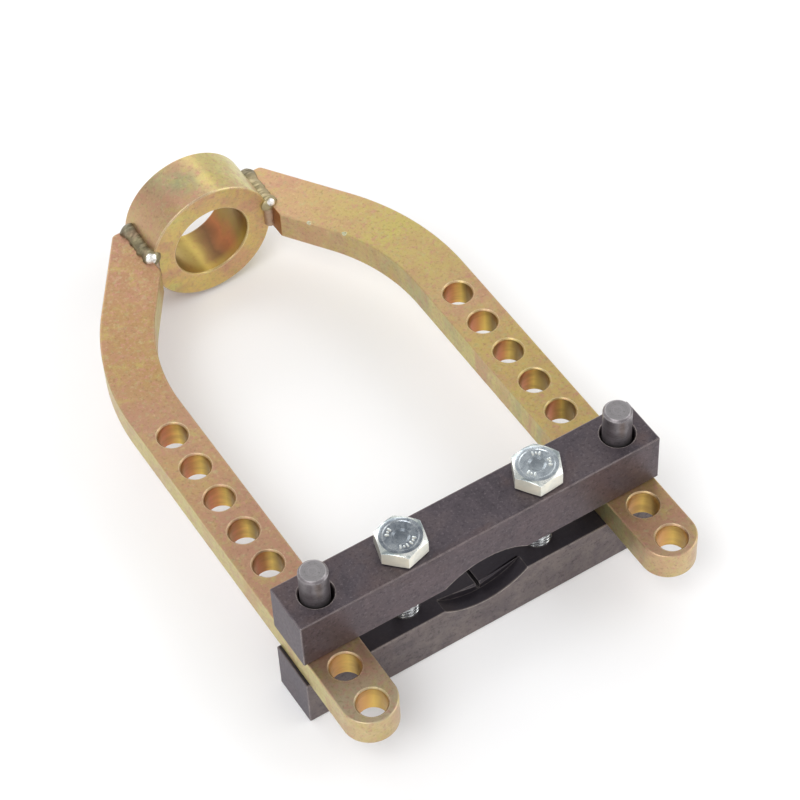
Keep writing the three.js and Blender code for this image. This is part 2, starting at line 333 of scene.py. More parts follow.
def add_piece(name, mesh, material, body, node, location=(0, 0, 0), sharp=32.0):
    """One finished piece that stands for a CAD node and rides on its body."""
    bmesh.ops.scale(mesh, vec=Vector((MM, MM, MM)), verts=mesh.verts)
    piece = mesh_object(name, mesh)
    piece.data.materials.append(material)
    piece.data.shade_smooth()
    piece.data.set_sharp_from_angle(angle=math.radians(sharp))
    piece.location = Vector(location) * MM
    weighted = piece.modifiers.new("even shading", "WEIGHTED_NORMAL")
    weighted.keep_sharp = True
    weighted.weight = 80
    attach(piece, body)
    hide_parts(node)
    return piece


# ---- finishes ----


class Finish:
    """One node material, with a short way to add and link nodes."""

    def __init__(self, slot, name=None):
        self.material = bpy.data.materials.new((name or slot) + "_finish")
        self.material["slot"] = slot
        self.material.use_nodes = True
        self.tree = self.material.node_tree
        self.tree.nodes.clear()
        self.shader = self.add("BsdfPrincipled")
        self.add("OutputMaterial", {"Surface": self.shader.outputs[0]})
        place = self.add("TexCoord")
        self.place, self.facing = place.outputs["Object"], place.outputs["Normal"]

    def add(self, kind, inputs=None, **settings):
        node = self.tree.nodes.new("ShaderNode" + kind)
        for key, value in settings.items():
            setattr(node, key, value)
        for key, value in (inputs or {}).items():
            self.fill(node, key, value)
        return node

    def fill(self, node, key, value):
        """Links a socket to a node's input, or sets the input to a plain value."""
        if isinstance(value, bpy.types.NodeSocket):
            self.tree.links.new(value, node.inputs[key])
        else:
            node.inputs[key].default_value = value

    def noise(self, scale, detail=2.0, roughness=0.5, distortion=0.0, place=None):
        """A cloudy value near a half, at a scale in cycles per metre."""
        inputs = {"Vector": place or self.place, "Scale": scale, "Detail": detail}
        inputs |= {"Roughness": roughness, "Distortion": distortion}
        return self.add("TexNoise", inputs).outputs["Fac"]

    def shifted(self, offset, stretch=(1, 1, 1)):
        """The place on the piece moved and stretched, for a noise of its own."""
        inputs = {"Vector": self.place, "Location": offset, "Scale": stretch}
        return self.add("Mapping", inputs).outputs[0]

    def math(self, operation, first, second=0.5, third=0.5):
        node = self.add("Math", {0: first, 1: second, 2: third}, operation=operation)
        return node.outputs[0]

    def times(self, value, factor, offset=0.0):
        """The value times a factor, plus an offset."""
        return self.math("MULTIPLY_ADD", value, factor, offset)

    def without(self, value, mask):
        """The value where the mask is 0, and nothing where it is 1."""
        return self.times(value, self.math("SUBTRACT", 1, mask))

    def length(self, **parts):
        """The length of a vector of the named components."""
        vector = self.add("CombineXYZ", parts).outputs[0]
        return self.add("VectorMath", {0: vector}, operation="LENGTH").outputs["Value"]

    def span(self, value, low, high, to_low=0.0, to_high=1.0):
        """The value from low to high carried over to another span, and held at its ends."""
        inputs = {0: value, 1: low, 2: high, 3: to_low, 4: to_high}
        return self.add("MapRange", inputs, clamp=True).outputs[0]

    def zone(self, value, low, high, to_low=0.0, to_high=1.0):
        """A span of a measure on the piece, with low and high in millimetres."""
        return self.span(value, low * MM, high * MM, to_low, to_high)

    def mix(self, share, first, second):
        """From the first colour to the second by a share; 6, 7 and 2 are the colour sockets."""
        node = self.add("Mix", {0: share}, data_type="RGBA")
        for key, colour in ((6, first), (7, second)):
            linked = isinstance(colour, bpy.types.NodeSocket)
            self.fill(node, key, colour if linked else (*colour, 1))
        return node.outputs[2]

    def tint(self, colour, tone, mask, share=1.0):
        """The colour drawn towards a tone, as far as a share of the mask."""
        return self.mix(self.times(mask, share), colour, tone)

    def ramp(self, value, stops):
        """A colour for a value, from stops of (position, colour)."""
        node = self.add("ValToRGB", {0: value})
        elements = node.color_ramp.elements
        while len(elements) < len(stops):
            elements.new(0.5)
        for element, (position, colour) in zip(elements, stops):
            element.position = position
            element.color = (*colour, 1)
        return node.outputs[0]

    def edges(self, radius):
        """1 along the edges, within a radius in millimetres, fading to 0 on the flats."""
        bevel = self.add("Bevel", {"Radius": radius * MM}, samples=4).outputs[0]
        normal = self.add("NewGeometry").outputs["Normal"]
        node = self.add("VectorMath", {0: bevel, 1: normal}, operation="DOT_PRODUCT")
        return self.span(node.outputs["Value"], 0.995, 0.9)

    def split(self, vector):
        return self.add("SeparateXYZ", {0: vector}).outputs

    def patch(self, centre, radius, soften=0.5, grain=60):
        """1 round a point, in millimetres from the piece's origin, and 0 beyond the radius."""
        point = tuple(c * MM for c in centre)
        node = self.add("VectorMath", {0: self.place, 1: point}, operation="DISTANCE")
        ragged = 0.8
        rim = 1 + ragged / 2
        wobble = self.times(self.noise(grain, 2), radius * MM * ragged)
        distance = self.math("ADD", node.outputs["Value"], wobble)
        return self.zone(distance, radius * rim, radius * (rim - soften))

    def bump(self, *layers):
        """Stacks (height, strength, depth in millimetres) into the shader's normal."""
        normal = None
        for height, strength, depth in layers:
            inputs = {"Strength": strength, "Distance": depth * MM, "Height": height}
            if normal is not None:
                inputs["Normal"] = normal
            normal = self.add("Bump", inputs).outputs[0]
        self.tree.links.new(normal, self.shader.inputs["Normal"])

    def finish(self, colour, roughness, metallic):
        """Fills the shader's main inputs and gives the material."""
        self.fill(self.shader, "Base Color", colour)
        self.fill(self.shader, "Roughness", roughness)
        self.fill(self.shader, "Metallic", metallic)
        return self.material


ROSE = (0.46, 0.235, 0.165)
ROSE_TAN = (0.455, 0.262, 0.165)
GREY_TAN = (0.48, 0.385, 0.25)
PALE_TAN = (0.565, 0.41, 0.245)
DEEP_TAN = (0.42, 0.258, 0.112)
DEEP_ROSE = (0.385, 0.208, 0.13)
TAN = (0.50, 0.32, 0.155)
GOLD = (0.53, 0.385, 0.142)
OLIVE = (0.50, 0.42, 0.135)
ROSE_GOLD = (0.53, 0.335, 0.185)
GREEN = (0.42, 0.43, 0.21)
PALE_GREEN = (0.60, 0.555, 0.215)
UMBER = (0.16, 0.095, 0.045)
ORANGE_TAN = (0.60, 0.40, 0.235)
ROSY_FLECK = (0.52, 0.245, 0.20)
PALE_FLECK = (0.74, 0.60, 0.36)
TIP_ROSE = (0.58, 0.33, 0.20)
COLLAR_ROSE = (0.56, 0.345, 0.225)
BAR_EDGE_WEAR_AND_HIGHLIGHT = (0.86, 0.75, 0.48)
COLLAR_EDGE_WEAR_AND_HIGHLIGHT = (0.92, 0.84, 0.60)
BARE_NICK = (0.62, 0.70, 0.58)
BORE_GOLD = (0.70, 0.45, 0.11)
BORE_BROWN = (0.30, 0.17, 0.05)
END_FACE_SHADE_BROWN = (0.36, 0.145, 0.045)


# Tone and how much of it, then the noise: scale, detail, roughness, distortion, shift and limits.
MOTTLE = [
    (ROSE, 0.45, 95, 4, 0.6, 0.6, (0.3, 0.1, 0.2), 0.48, 0.66),
    (OLIVE, 0.55, 130, 5, 0.7, 0.4, (0.7, 0.4, 0.9), 0.50, 0.68),
    (ROSY_FLECK, 0.6, 430, 4, 0.75, 0, (0.1, 0.8, 0.5), 0.52, 0.66),
    (GREEN, 0.45, 470, 4, 0.75, 0, (0.9, 0.2, 0.6), 0.53, 0.67),
    (UMBER, 0.36, 700, 4, 0.7, 0, (0, 0, 0), 0.53, 0.70),
    (PALE_FLECK, 0.26, 640, 4, 0.7, 0, (0.6, 0.6, 0.1), 0.55, 0.72),
]


def chromate_mottle(f, colour):
    """The crystalline mottling of a yellow chromate: rosy, olive and dark flecks, and clouds."""
    for tone, share, scale, detail, roughness, distortion, shift, low, high in MOTTLE:
        cloud = f.noise(scale, detail, roughness, distortion, f.shifted(shift))
        colour = f.mix(f.span(cloud, low, high, 0, share), colour, tone)
    return colour


def bar_tops(f, axes, to_right):
    """The bars' flat faces: rose-tan on the left arm, gold and olive on the right."""
    along = f.zone(axes["Y"], -50, 235)
    drift = f.noise(16, 2, 0.45, 1.1)
    station = f.math("ADD", along, f.times(drift, 0.36, -0.18))
    # The left bar's tops darken towards the back (DEEP_TAN, DEEP_ROSE): painted shade against the
    # light that falls brighter there.
    left_stops = [
        (0.02, GREY_TAN),
        (0.14, ROSE_TAN),
        (0.42, ROSE_TAN),
        (0.52, TAN),
        (0.62, ROSE_TAN),
        (0.78, DEEP_TAN),
        (0.92, DEEP_ROSE),
    ]
    right_stops = [
        (0.02, PALE_TAN),
        (0.12, ROSE_TAN),
        (0.24, GOLD),
        (0.45, GOLD),
        (0.56, ROSE_GOLD),
        (0.74, OLIVE),
        (0.90, ROSE_GOLD),
    ]
    colour = f.mix(to_right, f.ramp(station, left_stops), f.ramp(station, right_stops))
    left_tip = f.patch((-67, -21, ARM_TOP), 10, 0.6)
    colour = f.tint(colour, ROSE, left_tip, 0.65)
    right_tip = f.patch((67, -24, ARM_TOP), 12, 0.9)
    return f.tint(colour, TIP_ROSE, right_tip, 0.45)


def bar_sides(f, axes, to_right, side_hue):
    """The bars' upright sides: gold to green, rosier near the collar and orange at the tips."""
    side_stops = [(0.38, ROSE_GOLD), (0.47, PALE_GREEN), (0.58, GREEN), (0.68, GOLD)]
    near_collar = f.zone(axes["Y"], 135, 170, 0, 0.6)
    right_side = f.mix(near_collar, f.ramp(side_hue, side_stops), COLLAR_ROSE)
    left_side = f.ramp(side_hue, [(0.35, GOLD), (0.47, PALE_GREEN), (0.62, PALE_GREEN)])
    side = f.mix(to_right, left_side, right_side)
    at_tip = f.zone(axes["Y"], -22, -40)
    return f.tint(side, ORANGE_TAN, at_tip, 0.6)


def pin_hole_bores(f, axes, upright, side_hue):
    """A mask of the pin holes' bores, and their deeper orange and gold, with painted shade at both
    flanks and painted reflection across the bore.
    """
    across = f.math("SUBTRACT", f.math("ABSOLUTE", axes["X"]), ARM_SPACING / 2 * MM)
    step = f.math("DIVIDE", axes["Y"], HOLE_PITCH * MM)
    nearest = f.math("SUBTRACT", step, f.math("ROUND", step))
    reach = f.length(X=across, Y=f.times(nearest, HOLE_PITCH * MM))
    in_bore = f.zone(reach, ARM_BORE_RADIUS + 0.3, ARM_BORE_RADIUS + 0.08)
    in_bore = f.times(in_bore, upright)
    last_hole = HOLES_BEHIND_PIN * HOLE_PITCH + 2 * ARM_BORE_RADIUS
    in_bore = f.times(in_bore, f.zone(axes["Y"], last_hole, last_hole - 1))
    signed = f.times(across, f.zone(axes["X"], 0, 0.01, -1, 1))
    turn = f.math("ADD", signed, f.times(side_hue, 6 * MM, -3 * MM))
    bore_shade_position = f.zone(turn, -6.3, 6.3)
    # Across the bore: painted shade at both flanks, painted reflection in rose and gold between.
    bore_shade_stops = [
        (0.02, (0.17, 0.085, 0.030)),
        (0.12, (0.46, 0.24, 0.085)),
        (0.38, (0.66, 0.235, 0.125)),
        (0.60, (0.64, 0.285, 0.100)),
        (0.82, (0.74, 0.52, 0.115)),
        (0.98, (0.22, 0.14, 0.035)),
    ]
    bore = f.ramp(bore_shade_position, bore_shade_stops)
    golden = f.zone(axes["Y"], 2, -10, 0, 0.5)
    bore = f.mix(golden, bore, BORE_GOLD)
    bands = f.noise(210, 3, 0.6, 0, f.shifted((0.2, 0.2, 0.7), (0.25, 0.25, 1)))
    return in_bore, f.mix(f.span(bands, 0.45, 0.65, 0, 0.45), bore, BORE_BROWN)


def yellow_zinc():
    """Yellow chromate over zinc on the two arms."""
    f = Finish("yellow_zinc")
    axes = f.split(f.place)
    upright = f.span(f.math("ABSOLUTE", f.split(f.facing)["Z"]), 0.75, 0.25)
    to_right = f.zone(axes["X"], -5, 5)
    side_hue = f.noise(40, 3, 0.55, 0.8, f.shifted((0.2, 0.6, 0.3), (1, 1, 0.3)))
    colour = bar_tops(f, axes, to_right)
    colour = f.tint(colour, bar_sides(f, axes, to_right, side_hue), upright, 0.75)
    colour = chromate_mottle(f, colour)
    # Pale edges: part wear, part painted highlight along the rounded edges.
    colour = f.tint(colour, BAR_EDGE_WEAR_AND_HIGHLIGHT, f.edges(0.7), 0.7)
    for x, y in ARM_NICKS:
        nick = f.patch((x, y, ARM_TOP), 1.3, 0.5, 600)
        colour = f.tint(colour, BARE_NICK, nick, 0.8)
    in_bore, bore = pin_hole_bores(f, axes, upright, side_hue)
    # The bores' painted shade and painted reflection go over the bar's colour.
    colour = f.tint(colour, bore, in_bore, 0.92)
    # The ends that face the collar are painted dark brown, a painted shade where they stand in
    # shadow.
    end_face_shade = f.zone(f.math("ABSOLUTE", axes["X"]), ARM_END_X + 0.3, ARM_END_X + 0.1)
    colour = f.tint(colour, END_FACE_SHADE_BROWN, end_face_shade, 0.88)
    grain = f.noise(420, 3, 0.6, 0, f.shifted((0, 0, 0), (1, 0.12, 1)))
    roughness = f.times(grain, 0.22, 0.28)
    f.bump((grain, 0.3, 0.05), (f.noise(1500, 3), 0.35, 0.03), (f.noise(110, 3), 0.35, 0.12))
    return f.finish(colour, roughness, 0.86)


def collar_face(f, cloud):
    """The collar's flat ends: a slow drift from orange-tan to olive."""
    drift = f.noise(42, 2, 0.5, 0.8, f.shifted((0.11, 0.27, 0.4)))
    hue = f.times(cloud, 0.34, f.times(drift, 0.66))
    face_stops = [
        (0.36, (0.62, 0.36, 0.205)),
        (0.46, (0.64, 0.43, 0.195)),
        (0.55, (0.66, 0.49, 0.175)),
        (0.68, (0.60, 0.53, 0.19)),
    ]
    return f.ramp(hue, face_stops)


def collar_outside(f, axes, cloud):
    """The collar's outer side: rose on the left to gold on the right, with blue-grey, green and gold
    patches.
    """
    outer_stops = [
        (0.00, (0.50, 0.33, 0.19)),
        (0.30, (0.44, 0.255, 0.165)),
        (0.48, (0.40, 0.30, 0.165)),
        (0.60, (0.55, 0.46, 0.185)),
        (0.85, (0.60, 0.56, 0.25)),
    ]
    around = f.times(cloud, 0.24, f.zone(axes["X"], -30, 30, -0.12, 0.88))
    outer = f.ramp(around, outer_stops)
    blue_patch = f.patch((-5, 14, 29), 10, 0.8)
    outer = f.tint(outer, (0.25, 0.275, 0.16), blue_patch, 0.95)
    green_patch = f.patch((-12, 22, 26.5), 11, 0.9)
    outer = f.tint(outer, (0.33, 0.32, 0.185), green_patch, 0.75)
    gold_patch = f.patch((5, 9, 29), 5)
    return f.tint(outer, (0.66, 0.58, 0.17), gold_patch, 0.4)


def collar_bore(f, axes, cloud):
    """The collar's bore: olive on the left, a brown band, then rose and a dark right flank, and
    golder near the mouth. The dark band and flanks are painted shade, the lighter parts painted
    reflection.
    """
    wobble = f.times(cloud, 0.20, -0.10)
    bore_shade_position = f.math("ADD", wobble, f.zone(axes["X"], -RING_BORE_RADIUS, RING_BORE_RADIUS))
    # Across the bore: painted shade in the dark band and flanks, painted reflection in the olive and
    # rose.
    bore_shade_stops = [
        (0.02, (0.26, 0.18, 0.05)),
        (0.18, (0.52, 0.375, 0.11)),
        (0.42, (0.46, 0.34, 0.085)),
        (0.56, (0.24, 0.140, 0.050)),
        (0.66, (0.17, 0.080, 0.036)),
        (0.82, (0.47, 0.165, 0.065)),
        (0.95, (0.27, 0.175, 0.045)),
    ]
    bore = f.ramp(bore_shade_position, bore_shade_stops)
    front_band = f.zone(axes["Y"], 5.8, 2.2)
    bore = f.tint(bore, (0.50, 0.35, 0.07), front_band, 0.55)
    fine = f.noise(430, 3, 0.7)
    return f.mix(f.span(fine, 0.52, 0.70, 0, 0.35), bore, (0.30, 0.11, 0.06))


def ring_zinc():
    """The same finish on the turned collar, with its own drift of colours and turning lines."""
    f = Finish("yellow_zinc", "turned_zinc")
    axes = f.split(f.place)
    radius = f.length(X=axes["X"], Z=axes["Z"])
    outside = f.zone(radius, RING_OUTER_RADIUS - 0.7, RING_OUTER_RADIUS - 0.2)
    inside = f.zone(radius, RING_BORE_RADIUS + 0.6, RING_BORE_RADIUS + 0.2)
    cloud = f.noise(90, 3, 0.5, 0.5)
    colour = f.tint(collar_face(f, cloud), collar_outside(f, axes, cloud), outside, 0.86)
    colour = chromate_mottle(f, colour)
    # The bore's painted shade and painted reflection go over the mottle.
    colour = f.tint(colour, collar_bore(f, axes, cloud), inside, 0.94)
    # Pale edges: part wear, part painted highlight on the chamfers.
    colour = f.tint(colour, COLLAR_EDGE_WEAR_AND_HIGHLIGHT, f.edges(0.9), 0.8)
    turning = f.add("CombineXYZ", {"X": radius, "Y": axes["Y"]}).outputs[0]
    lines = f.noise(900, 3, 0.6, 0, turning)
    roughness = f.times(lines, 0.16, 0.28)
    f.bump((lines, 0.22, 0.04), (f.noise(1500, 3), 0.3, 0.03), (f.noise(90, 2), 0.25, 0.1))
    return f.finish(colour, roughness, 0.86)


def weld_metal():
    """Plated weld beads: grey-green to tan, darker towards the back and a bright fleck."""
    f = Finish("weld_metal")
    axes = f.split(f.place)
    patchy = f.noise(210, 4, 0.6, 0.6)
    weld_stops = [
        (0.36, (0.15, 0.125, 0.075)),
        (0.50, (0.25, 0.215, 0.125)),
        (0.62, (0.34, 0.30, 0.185)),
        (0.72, (0.44, 0.41, 0.29)),
    ]
    colour = f.ramp(patchy, weld_stops)
    rosy = f.span(f.noise(140, 2, place=f.shifted((0.5, 0.2, 0))), 0.48, 0.62, 0, 0.4)
    colour = f.mix(rosy, colour, (0.36, 0.235, 0.165))
    to_right = f.zone(axes["X"], -5, 5, 0, 0.6)
    colour = f.mix(to_right, colour, (0.50, 0.42, 0.235))
    back = f.zone(axes["Y"], 223.5, 227.5)
    colour = f.tint(colour, (0.17, 0.155, 0.115), back, 0.7)
    # Upright front beads are rosier.
    low = f.zone(axes["Z"], 37.2, 36.2)
    colour = f.tint(colour, (0.46, 0.30, 0.225), low, 0.7)
    tip_y, tip_z = UPPER_WELD_START + 1.4, FRAME_MIDDLE + 8.6
    left_fleck = f.patch((-30.4, tip_y, tip_z), 2.6, 0.2, 600)
    right_fleck = f.patch((29.8, tip_y, tip_z), 1.9, 0.2, 600)
    bright = f.math("MAXIMUM", left_fleck, right_fleck)
    colour = f.mix(bright, colour, (0.90, 0.87, 0.82))
    rough = f.times(patchy, 0.2, 0.34)
    roughness = f.times(bright, -0.20, rough)
    f.bump((f.noise(700, 3, 0.6), 0.45, 0.10), (f.noise(2400, 2), 0.4, 0.03))
    return f.finish(colour, roughness, 0.82)


def black_oxide(name, front):
    """Blackened bar: purple-brown with grinding lines, a paler front, edges rubbed bright and partly
    painted as highlights, and painted shade on the inside faces.
    """
    f = Finish("black_oxide", name)
    axes = f.split(f.place)
    cloud = f.noise(55, 4, 0.6, 0.8)
    stops = [
        (0.30, (0.060, 0.050, 0.058)),
        (0.50, (0.088, 0.072, 0.082)),
        (0.72, (0.118, 0.094, 0.098)),
    ]
    colour = f.ramp(cloud, stops)
    rust = f.span(f.noise(34, 3, 0.55, 1.0, f.shifted((0.4, 0.7, 0.1))), 0.54, 0.70, 0, 0.4)
    colour = f.mix(rust, colour, (0.145, 0.088, 0.072))
    half_depth = JAW_DEPTH / 2
    on_front = f.zone(axes["Y"], 0.9 - half_depth, 0.4 - half_depth)
    blotch = f.span(f.noise(75, 4, 0.65, 0.5, f.shifted((0.9, 0.3, 0.2))), 0.40, 0.62, 0.35, 1.0)
    colour = f.tint(colour, front, on_front, blotch)
    half_length = JAW_LENGTH / 2
    on_end = f.zone(f.math("ABSOLUTE", axes["X"]), half_length - 0.9, half_length - 0.4)
    colour = f.tint(colour, (0.100, 0.085, 0.106), on_end, 0.6)
    pale_specks = f.noise(820, 4, 0.75)
    colour = f.mix(f.span(pale_specks, 0.54, 0.70, 0, 0.45), colour, (0.24, 0.20, 0.215))
    dark_specks = f.noise(640, 4, 0.75, 0, f.shifted((0.4, 0.4, 0.8)))
    colour = f.mix(f.span(dark_specks, 0.52, 0.68, 0, 0.6), colour, (0.032, 0.024, 0.031))
    # Inside faces: the mating side of the bar, its notch and its recess are painted near black, a
    # painted shade for the gap between the jaws.
    from_outside = f.math("ABSOLUTE", axes["Z"])
    recess_bottom = JAW_HEIGHT - JAW_RECESS_HEIGHT
    inner = f.zone(from_outside, recess_bottom - 0.6, recess_bottom)
    inner = f.without(f.without(inner, on_front), on_end)
    off_back = f.zone(axes["Y"], half_depth - 0.2, half_depth - 0.6)
    inner = f.times(inner, off_back)
    colour = f.tint(colour, (0.030, 0.026, 0.033), inner, 0.82)
    # Edges rubbed pale: part wear, part painted highlight, kept off the painted shade of the inside
    # faces.
    wear_and_highlight_breakup = f.span(f.noise(260, 3, 0.6), 0.3, 0.6, 0.35, 1.0)
    edge_wear_and_highlight = f.times(f.edges(0.6), wear_and_highlight_breakup)
    edge_wear_and_highlight = f.times(edge_wear_and_highlight, f.times(inner, -0.7, 1))
    colour = f.mix(edge_wear_and_highlight, colour, (0.62, 0.55, 0.50))
    grinding = f.noise(700, 3, 0.65, 0, f.shifted((0, 0, 0), (0.05, 1, 1)))
    roughness = f.times(grinding, 0.22, 0.34)
    f.bump((grinding, 0.3, 0.05), (f.noise(1300, 3), 0.4, 0.04), (f.noise(60, 2), 0.2, 0.1))
    return f.finish(colour, roughness, 0.62)


def ground_steel():
    """Plain guide pins: turned rings on the ends, fine lines round the side."""
    f = Finish("ground_steel")
    axes = f.split(f.place)
    radius = f.length(X=axes["X"], Y=axes["Y"])
    turning = f.add("CombineXYZ", {"X": radius, "Z": axes["Z"]}).outputs[0]
    lines = f.noise(1300, 3, 0.6, 0, turning)
    cloud = f.noise(150, 3, 0.55, 0.5)
    stops = [
        (0.30, (0.135, 0.118, 0.125)),
        (0.55, (0.215, 0.195, 0.202)),
        (0.75, (0.29, 0.27, 0.28)),
    ]
    colour = f.ramp(cloud, stops)
    level = f.span(f.math("ABSOLUTE", f.split(f.facing)["Z"]), 0.8, 0.95)
    colour = f.tint(colour, (0.36, 0.35, 0.35), level, 0.6)
    colour = f.mix(f.span(lines, 0.35, 0.7, 0, 0.45), colour, (0.42, 0.40, 0.41))
    dark = f.noise(900, 3, 0.65)
    colour = f.mix(f.span(dark, 0.56, 0.72, 0, 0.45), colour, (0.07, 0.06, 0.065))
    # Pale edges: a painted highlight on the chamfers and roundings.
    colour = f.tint(colour, (0.72, 0.70, 0.69), f.edges(0.5), 0.8)
    roughness = f.times(lines, 0.2, 0.28)
    f.bump((lines, 0.5, 0.05), (f.noise(2500, 2), 0.25, 0.02))
    return f.finish(colour, roughness, 0.9)


def bright_zinc(name, tone):
    """Clear zinc on the bolts: blue-grey crown with painted glints on the marks, creamy flats, and
    painted shade and light on the dish, chamfer, left flats and thread.
    """
    f = Finish("bright_zinc", name)
    axes = f.split(f.place)
    normal = f.split(f.facing)
    radius = f.length(X=axes["X"], Y=axes["Y"])
    cloud = f.noise(330, 4, 0.65, 0.6)
    crown_stops = [
        (0.34, (0.17, 0.20, 0.23)),
        (0.48, (0.31, 0.35, 0.385)),
        (0.60, (0.44, 0.485, 0.51)),
        (0.72, (0.66, 0.70, 0.70)),
    ]
    # The tone paints this bolt's crown darker or lighter than the other's: painted shade or painted
    # light.
    crown = f.mix(0.35, f.ramp(cloud, crown_stops), tone)
    # The dish's middle is darker: darker metal and painted shade in the hollow.
    crown = f.mix(f.zone(radius, 4.0, 3.4, 0, 0.5), crown, (0.12, 0.14, 0.16))
    # The crown's chamfer runs grey to near white: partly a painted highlight.
    slope = f.zone(radius, BOLT_CROWN_RADIUS - 0.15, BOLT_CROWN_RADIUS + 0.05)
    slow = f.noise(130, 3, 0.55, 0.5, f.shifted((0.2, 0.5, 0.1)))
    chamfer_stops = [
        (0.40, (0.30, 0.345, 0.35)),
        (0.50, (0.60, 0.64, 0.60)),
        (0.60, (0.88, 0.89, 0.84)),
    ]
    crown = f.mix(slope, crown, f.ramp(slow, chamfer_stops))
    # The raised ticks are painted near white, a painted glint.
    raised_glint = f.zone(axes["Z"], BOLT_HEAD_HEIGHT, BOLT_HEAD_HEIGHT + 0.08)
    crown = f.mix(raised_glint, crown, (0.86, 0.93, 0.92))
    upright = f.span(f.math("ABSOLUTE", normal["Z"]), 0.6, 0.2)
    flat_stops = [
        (0.36, (0.74, 0.76, 0.70)),
        (0.52, (0.90, 0.88, 0.78)),
        (0.66, (0.97, 0.93, 0.80)),
    ]
    colour = f.mix(upright, crown, f.ramp(slow, flat_stops))
    # The flats towards the left get a painted beige shade, and where they also face back a dark
    # painted reflection of the jaw.
    leftward_shade = f.times(upright, f.span(normal["X"], -0.3, -0.7))
    colour = f.tint(colour, (0.58, 0.52, 0.38), leftward_shade, 0.45)
    rearward_shade = f.times(leftward_shade, f.span(normal["Y"], -0.2, 0.3))
    colour = f.tint(colour, (0.14, 0.15, 0.15), rearward_shade, 0.7)
    # The thread below the seat is painted near white, painted light in the shade between the jaws.
    threads = f.zone(axes["Z"], -0.4, -1.2)
    colour = f.tint(colour, (0.95, 0.97, 0.97), threads, 0.8)
    pits = f.noise(1100, 3, 0.65)
    pitted = f.without(f.without(f.span(pits, 0.54, 0.7, 0, 0.6), upright), threads)
    colour = f.mix(pitted, colour, (0.14, 0.16, 0.18))
    # Pale edges: part wear, part painted highlight.
    colour = f.tint(colour, (0.95, 0.96, 0.95), f.edges(0.4), 0.7)
    pitting = f.times(threads, -0.14, 0.20)
    rough = f.times(pits, pitting, 0.18)
    head_flats = f.without(upright, threads)
    roughness = f.times(head_flats, 0.22, rough)
    relief = f.times(f.math("MAXIMUM", upright, threads), -0.17, 0.20)
    f.bump((pits, relief, 0.04), (f.noise(330, 3), relief, 0.08))
    return f.finish(colour, roughness, f.times(head_flats, -0.5, 0.92))


def floor_paint():
    """Near-white floor with a very faint cloud."""
    f = Finish("pale_floor")
    tone = f.ramp(f.noise(9, 3), [(0.3, (0.94, 0.94, 0.94)), (0.7, (0.97, 0.97, 0.97))])
    roughness = f.times(f.noise(30, 2), 0.1, 0.75)
    return f.finish(tone, roughness, 0.0)


# ---- welded frame ----


def arm_outline():
    """The right arm in plan: rounded tip, straight run, bend towards the collar."""
    inner = (ARM_SPACING - ARM_WIDTH) / 2
    bend_x = inner - ARM_BEND_INNER_RADIUS
    outer_radius = ARM_BEND_INNER_RADIUS + ARM_WIDTH
    tip_y = ARM_TIP_SETBACK - (HOLES_PER_ARM - HOLES_BEHIND_PIN - 1) * HOLE_PITCH
    slope = math.tan(ARM_BEND_ANGLE)
    arc_steps = 28

    def bend(radius):
        angles = [ARM_BEND_ANGLE * i / arc_steps for i in range(arc_steps + 1)]
        return [
            Vector((bend_x + radius * math.cos(a), ARM_BEND_START + radius * math.sin(a)))
            for a in angles
        ]

    inside, outside = bend(ARM_BEND_INNER_RADIUS), bend(outer_radius)
    end_y = inside[-1].y + (inside[-1].x - ARM_END_X) / slope
    back_x = outside[-1].x - (ARM_BACK_CUT - outside[-1].y) * slope
    corners = [
        outside[-1],
        Vector((back_x, ARM_BACK_CUT)),
        Vector((ARM_END_X, ARM_BACK_CUT)),
        Vector((ARM_END_X, end_y)),
        inside[-1],
    ]
    radii = [ARM_CORNER_RADIUS, ARM_BACK_CORNER_RADIUS] + 3 * [ARM_CORNER_RADIUS]
    end = rounded(corners, radii, 6, closed=False)
    tip_steps = 36
    tip = [
        Vector((ARM_SPACING / 2, tip_y)) + p
        for p in circle(ARM_WIDTH / 2, 2 * tip_steps, math.pi)[: tip_steps + 1]
    ]
    return tip + outside[:-1] + end + inside[-2::-1]


def arm_mesh(nicks):
    """The right arm about the frame's middle plane, with small nicks at points of its edges."""
    arm = plate(arm_outline(), ARM_THICKNESS / 2, ARM_EDGE_RADIUS)
    for hole in range(HOLES_PER_ARM):
        y = (HOLES_BEHIND_PIN - hole) * HOLE_PITCH
        cutter = hole_cutter(ARM_BORE_RADIUS, ARM_THICKNESS / 2, ARM_HOLE_RIM)
        arm = combined(arm, moved(cutter, (ARM_SPACING / 2, y, 0)))
    for x, y in nicks:
        dent = bmesh.new()
        bmesh.ops.create_icosphere(dent, subdivisions=3, radius=1.0)
        bmesh.ops.scale(dent, vec=ARM_NICK_SIZE, verts=dent.verts)
        arm = combined(arm, moved(dent, (x, y, ARM_THICKNESS / 2)))
    return arm


def ring_mesh():
    """The collar along +Y from its front face, with broken edges."""
    c = RING_CHAMFER
    profile = [
        (RING_BORE_RADIUS + c, 0),
        (RING_OUTER_RADIUS - c, 0),
        (RING_OUTER_RADIUS, c),
        (RING_OUTER_RADIUS, RING_LENGTH - c),
        (RING_OUTER_RADIUS - c, RING_LENGTH),
        (RING_BORE_RADIUS + c, RING_LENGTH),
        (RING_BORE_RADIUS, RING_LENGTH - c),
        (RING_BORE_RADIUS, c),
    ]
    ring = lathe(rounded(profile, RING_EDGE_RADIUS, 3), 192, closed=True)
    return moved(ring, turn=-math.pi / 2, axis="X")


